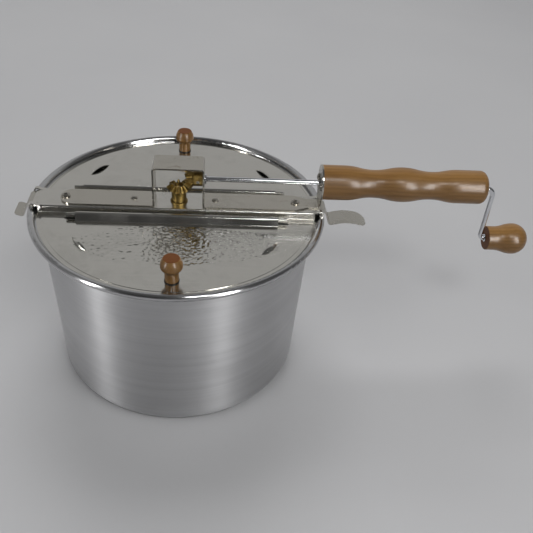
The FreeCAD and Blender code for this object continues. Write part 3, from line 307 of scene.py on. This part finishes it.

# %% [markdown]
# ## Chromed wire, brass and the dark washers
#
# The crank is drawn wire with bright plating: nearly a mirror, with a few faint drawing lines. The
# gears are turned and milled brass that has gone olive with oil. Their dirt sits in the hollows and
# the tooth tips are rubbed bright; here a slow noise mixes two brasses in patches, and the sharp edges
# are made brighter. The washers are blackened steel.


# %% Chrome
def chromed_wire():
    finish = Finish("chromed_wire", Metallic=1.0)
    x, y, z = finish.xyz
    lines = finish.noise(finish.point(x * 12, y * 1600, z * 1600), 1.0, 2.0)
    haze = finish.noise(finish.place, 60.0, 3.0)
    return finish.wear(
        Base_Color=finish.mix(haze, srgb(196, 198, 202), srgb(226, 227, 229)),
        Roughness=0.05 + 0.08 * haze + 0.04 * lines,
        Normal=finish.bump(lines, 0.00001, 0.3),
    )


chrome = chromed_wire()
print("chrome:", len(chrome.nodes), "nodes")


# %% Brass
def oiled_brass():
    finish = Finish("oiled_brass", Metallic=1.0)
    dirt = finish.noise(finish.place, 190.0, 4.0, 0.65)
    cut = finish.noise(finish.place, 1500.0, 2.0)
    edge = finish.add("ShaderNodeNewGeometry", {}, {}, "Pointiness").ramp(0.50, 0.60)
    colour = finish.mix(dirt.ramp(0.35, 0.65), srgb(134, 112, 62), srgb(88, 73, 40))
    return finish.wear(
        Base_Color=finish.mix(edge * 0.6, colour, srgb(180, 156, 100)),
        Roughness=0.34 + 0.22 * dirt - 0.08 * edge,
        Normal=finish.bump(cut, 0.00004, 0.4, finish.bump(dirt, 0.00012, 0.4)),
    )


brass = oiled_brass()
print("brass:", len(brass.nodes), "nodes")


# %% Blackened steel
def blackened_steel():
    finish = Finish("blackened_steel", Metallic=0.6)
    grime = finish.noise(finish.place, 260.0, 3.0)
    return finish.wear(
        Base_Color=finish.mix(grime, srgb(26, 24, 22), srgb(52, 48, 43)),
        Roughness=0.42 + 0.2 * grime,
        Normal=finish.bump(grime, 0.00005, 0.5),
    )


black = blackened_steel()
print("black:", len(black.nodes), "nodes")

# %% [markdown]
# ## Varnished wood
#
# The handle and the knobs are turned from a pale hardwood and dipped in clear varnish. Its grain runs
# along the blank, so on a turned shape it shows as long streaks on the sides and as rings on the end.
# That comes from one solid texture: distorted growth rings around an axis beside the blank, plus short
# dark pores. The varnish is the shader's coat, over wood that is itself fairly dull. Where the grain
# meets the surface end on, the varnish soaks in and the wood is darker and redder.


# %% Wood
RING_WANDER = 6 * MM
PORE_BROWN, END_RED = srgb(92, 62, 32), srgb(84, 42, 20)


def varnished_wood(name, grain, heart, end_at, end_from):
    """grain: the axis that the grain runs along. heart: the growth rings' centre, in metres.
    end_at: the end, -1 or 1, that drank the varnish. end_from: how square to the grain it starts."""
    finish = Finish(name, Coat_Roughness=0.26, Coat_IOR=1.4, Specular_IOR_Level=0.1)
    run = finish.xyz[grain]
    across = [part for axis, part in enumerate(finish.xyz) if axis != grain]

    def fibre(along, thick, detail=2.0, roughness=0.5):
        """Noise that changes slowly along the grain and fast across it."""
        stretched = finish.point(run * along, across[0] * thick, across[1] * thick)
        return finish.noise(stretched, 1.0, detail, roughness)

    wander = fibre(9, 34)
    u, v = (part - middle + RING_WANDER * wander for part, middle in zip(across, heart))
    rings = ((u * u + v * v).root() * 1900 + 3 * wander).math("SINE") * 0.5 + 0.5
    streak = fibre(22, 520, 4.0, 0.6)
    pores = fibre(120, 1500).ramp(0.60, 0.74)
    patch = fibre(18, 60)
    tone = 0.12 * rings + 0.44 * streak + 0.44 * patch
    honey = finish.colours(
        tone,
        (0.25, srgb(106, 74, 38)),
        (0.48, srgb(126, 92, 50)),
        (0.75, srgb(142, 107, 62)),
    )
    dark = finish.mix(pores * 0.4, honey, PORE_BROWN)
    facing = finish.add("ShaderNodeTexCoord", {}, {}, "Normal")
    square = finish.add("ShaderNodeSeparateXYZ", {}, {0: facing}, grain) * end_at
    end = square.ramp(end_from, 1.0)
    return finish.wear(
        Base_Color=finish.mix(end * 0.8, dark, END_RED),
        Roughness=0.42 + 0.15 * streak,
        Coat_Weight=0.75 - 0.6 * end,
        Normal=finish.bump(streak, 0.00008, 0.35, finish.bump(pores, -0.00005, 0.5)),
    )


handle_wood = varnished_wood("handle_wood", 0, (-0.03, 0.17), -1, 0.6)
crank_knob_wood = varnished_wood("crank_knob_wood", 0, (-0.03, 0.12), -1, 0.6)
lid_knob_wood = varnished_wood("lid_knob_wood", 2, (-0.03, 0.06), 1, 0.55)
print("wood:", len(handle_wood.nodes), "nodes for each of three turned pieces")

# %% [markdown]
# ## Which part has which finish
#
# A CAD node keeps its shape and gets a finish: its mesh has one material slot, and the material in it
# is swapped. The table is the whole parts list, so a node with no finish shows up at once.

# %% Finishes by part
finish_of = {
    "pot": aluminium,
    "crossbar": bar_steel,
    "gear_bracket": strap_steel,
    "clip_screws": screw_steel,
    "clip_nuts": screw_steel,
    "bracket_rivets": screw_steel,
    "left_clip_leaf": clip_steel,
    "right_clip_leaf": clip_steel,
    "left_clip_tongue": clip_steel,
    "right_clip_tongue": clip_steel,
    "handle": handle_wood,
    "handle_screws": screw_steel,
    "shaft_bushing": brass,
    "driven_gear": brass,
    "driven_gear_screw": screw_steel,
    "drive_gear": brass,
    "drive_gear_screw": screw_steel,
    "crank_rod": chrome,
    "rod_collar": chrome,
    "crank_knob": crank_knob_wood,
    "knob_push_nut": screw_steel,
    "stirrer_shaft": chrome,
    "shaft_ring": black,
    "stirring_wire": chrome,
}
for side in ("front", "back"):
    finish_of[f"{side}_lid"] = lid_steel
    finish_of[f"{side}_lid_knob"] = lid_knob_wood
    finish_of[f"{side}_knob_washer"] = black
    finish_of[f"{side}_knob_screw"] = screw_steel

for name, part in node.items():
    part.data.materials.clear()
    part.data.materials.append(finish_of[name].material)
print("nodes with a finish:", len(finish_of), "of", len(node))

# %% [markdown]
# ## The pressed field of the front lid
#
# A thin flat lid drums and dents, so a field is pressed into its sheet to stiffen it. This one is plain
# hammering, an oval of small pebbles that any maker could press. A bump map would do from far away, but
# the field breaks up the mirror so strongly that it has to be real. The lid's own sheet is cut into a
# fine grid there, and each point of it, above and below, is raised or sunk by the same amount, as a
# press would do.

# %% Height of the hammered field
FIELD_MIDDLE = Vector((0.0, -0.0585))
FIELD_HALF = Vector((0.094, 0.0290))
PEBBLE = 4.4 * MM
RELIEF = 0.55 * MM
EDGE_SHARE = 0.22
PEBBLE_SLICE = 3.7


def pressed_height(x, y):
    """How far the press moved the sheet at this point."""
    across = (x - FIELD_MIDDLE.x) / FIELD_HALF.x
    down = (y - FIELD_MIDDLE.y) / FIELD_HALF.y
    inside = 1 - (across**2 + down**2)
    if inside <= 0:
        return 0.0
    fade = min(1.0, inside / EDGE_SHARE)
    warp = 0.0016 * noise.noise(Vector((x, y, 0)) * 140)
    pebble = Vector(((x + warp) / PEBBLE, (y - warp) / PEBBLE, PEBBLE_SLICE))
    distances, _ = noise.voronoi(pebble, distance_metric="DISTANCE")
    gap = min(1.0, (distances[1] - distances[0]) / 0.55)
    ripple = 0.35 * noise.noise(Vector((x, y, 1)) * 520)
    return RELIEF * fade * fade * (gap * (2 - gap) - 0.55 + ripple)


print("height in the middle:", round(pressed_height(*FIELD_MIDDLE) / MM, 3), "mm")

# %% A fine grid in the flat sheet
FIELD_CELL = 1.0 * MM
FLAT = 0.99


def cut_across(mesh, axis, where):
    """Cuts the flat faces that cross this place on the X or the Y axis."""
    near = []
    for face in mesh.faces:
        places = [vertex.co[axis] for vertex in face.verts]
        if abs(face.normal.z) > FLAT and min(places) < where < max(places):
            near.append(face)
    parts = set(near)
    for face in near:
        parts.update(face.edges)
        parts.update(face.verts)
    if near:
        normal = Vector((axis == 0, axis == 1, 0))
        bmesh.ops.bisect_plane(mesh, geom=list(parts), plane_co=normal * where, plane_no=normal)


def cut_grid(mesh):
    for axis in (0, 1):
        low = FIELD_MIDDLE[axis] - FIELD_HALF[axis]
        for step in range(math.ceil(2 * FIELD_HALF[axis] / FIELD_CELL) + 1):
            cut_across(mesh, axis, low + step * FIELD_CELL)


# %% The hammered lid
CREASE = math.radians(32)
WELD = 0.001 * MM


def hammered_lid():
    mesh = bmesh.new()
    mesh.from_mesh(node["front_lid"].data)
    bmesh.ops.remove_doubles(mesh, verts=mesh.verts, dist=WELD)
    cut_grid(mesh)
    for vertex in mesh.verts:
        vertex.co.z += pressed_height(vertex.co.x, vertex.co.y)
    for face in mesh.faces:
        face.smooth = True
    for edge in mesh.edges:
        if len(edge.link_faces) == 2 and edge.calc_face_angle() > CREASE:
            edge.smooth = False
    data = bpy.data.meshes.new("hammered_lid")
    mesh.to_mesh(data)
    mesh.free()
    data.materials.append(lid_steel.material)
    made = bpy.data.objects.new("hammered_lid", data)
    SCENE.collection.objects.link(made)
    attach(made, "front_lid")
    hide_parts("front_lid")
    return made


lid = hammered_lid()
print("hammered lid:", len(lid.data.polygons), "faces")

# %% [markdown]
# ## The floor
#
# The popper stands on a plain pale floor with a faint weave. One large plane is enough: a slow noise
# makes it a little uneven and a fast one gives the weave, both as shallow bumps.

# %% Floor
FLOOR_HALF = 6


def make_floor():
    mesh = bmesh.new()
    bmesh.ops.create_grid(mesh, x_segments=8, y_segments=8, size=FLOOR_HALF)
    data = bpy.data.meshes.new("floor")
    mesh.to_mesh(data)
    mesh.free()
    made = bpy.data.objects.new("floor", data)
    SCENE.collection.objects.link(made)
    cloth = Finish("pale_cloth", Roughness=0.95, Specular_IOR_Level=0.1)
    soft = cloth.noise(cloth.place, 3.0, 3.0, 0.5)
    weave = cloth.noise(cloth.place, 900.0, 2.0)
    cloth.wear(
        Base_Color=cloth.mix(soft, srgb(172, 172, 174), srgb(180, 180, 181)),
        Normal=cloth.bump(weave, 0.0002, 0.3, cloth.bump(soft, 0.02, 0.25)),
    )
    data.materials.append(cloth.material)
    return made


floor = make_floor()
print("floor:", [round(side, 1) for side in floor.dimensions], "m")

# %% [markdown]
# ## The lamps
#
# Bright metal shows the lamps themselves, and wood and floor only show the light they give. So the two
# jobs are shared out. Two upright strips make the long streaks on the pot's wall and light nothing
# else. A small box above the camera puts the highlights on the handle. Two fills and a large box
# behind the popper light the floor and the wood softly, and no mirror shows them.

# %% Softboxes
CAMERA_SIDE = -86.4
POPPER_MIDDLE = Vector((0, 0, 0.1))


def softbox(name, azimuth, elevation, distance, size, power, glare=True, spill=True):
    """A rectangular lamp that looks at the popper. Azimuth is from the camera's side, to the right.
    Without glare no mirror shows it; without spill only mirrors do."""
    lamp = bpy.data.lights.new(name, "AREA")
    lamp.shape = "RECTANGLE"
    lamp.size, lamp.size_y = size
    lamp.energy = power
    made = bpy.data.objects.new(name, lamp)
    SCENE.collection.objects.link(made)
    turn, lift = math.radians(CAMERA_SIDE + azimuth), math.radians(elevation)
    flat = Vector((math.cos(turn), math.sin(turn), 0))
    offset = math.cos(lift) * flat + math.sin(lift) * Vector((0, 0, 1))
    made.location = POPPER_MIDDLE + offset * distance
    made.rotation_euler = offset.to_track_quat("Z", "Y").to_euler()
    made.visible_camera = False
    made.visible_glossy = glare
    made.visible_diffuse = spill
    return made


softbox("left_strip", -61, 14, 1.5, (0.14, 1.0), 15, spill=False)
softbox("right_strip", 31, 22, 1.5, (0.32, 1.0), 20, spill=False)
softbox("front_softbox", 14, 50, 1.6, (0.34, 0.24), 4.5)
softbox("left_fill", -50, 42, 2.5, (1.2, 1.2), 10, glare=False)
softbox("right_fill", 45, 42, 2.5, (1.2, 1.2), 15, glare=False)
softbox("back_softbox", 178, 60, 3.0, (1.6, 1.6), 50, glare=False)
print("lamps:", [lamp.name for lamp in bpy.data.lights])

# %% [markdown]
# ## The room that the metal sees
#
# The lids look over the popper at a pale wall, the bar's edges and the rod look back at a dim room, and
# the wall of the pot looks at the floor. An image of a room could give that, but three slow ramps on
# the direction do it too: pale behind, dim overhead, a little light at both sides. The camera itself
# sees one plain grey.

# %% World
FRONT_LEVEL, BEHIND_LEVEL, OVERHEAD_LEVEL = 0.05, 0.40, 0.05
LEFT_LEVEL, RIGHT_LEVEL = 0.16, 0.06

world = bpy.data.worlds.new("studio")
SCENE.world = world
world.use_nodes = True
sky = Web(world.node_tree)
sky.nodes.clear()
_, (across, depth, height) = sky.place_and_parts("Generated")
behind = depth.ramp(0.10, 0.62)
overhead = height.ramp(0.74, 0.94)
left, right = ((side * across).ramp(0.45, 0.90) for side in (-1, 1))
sides = LEFT_LEVEL * left + RIGHT_LEVEL * right
ahead_and_behind = FRONT_LEVEL + BEHIND_LEVEL * behind * (1 - overhead)
light = ahead_and_behind + OVERHEAD_LEVEL * overhead + sides * (1 - behind)
seen = sky.add("ShaderNodeLightPath", {}, {}, "Is Camera Ray")
room = sky.mix(seen, sky.point(light, light, light), srgb(168, 168, 170))
background = sky.add("ShaderNodeBackground", {}, {"Color": room})
output = sky.nodes.new("ShaderNodeOutputWorld")
sky.feed(output.inputs["Surface"], background)
SCENE.view_settings.view_transform = "Standard"
print("world:", len(sky.nodes), "nodes")
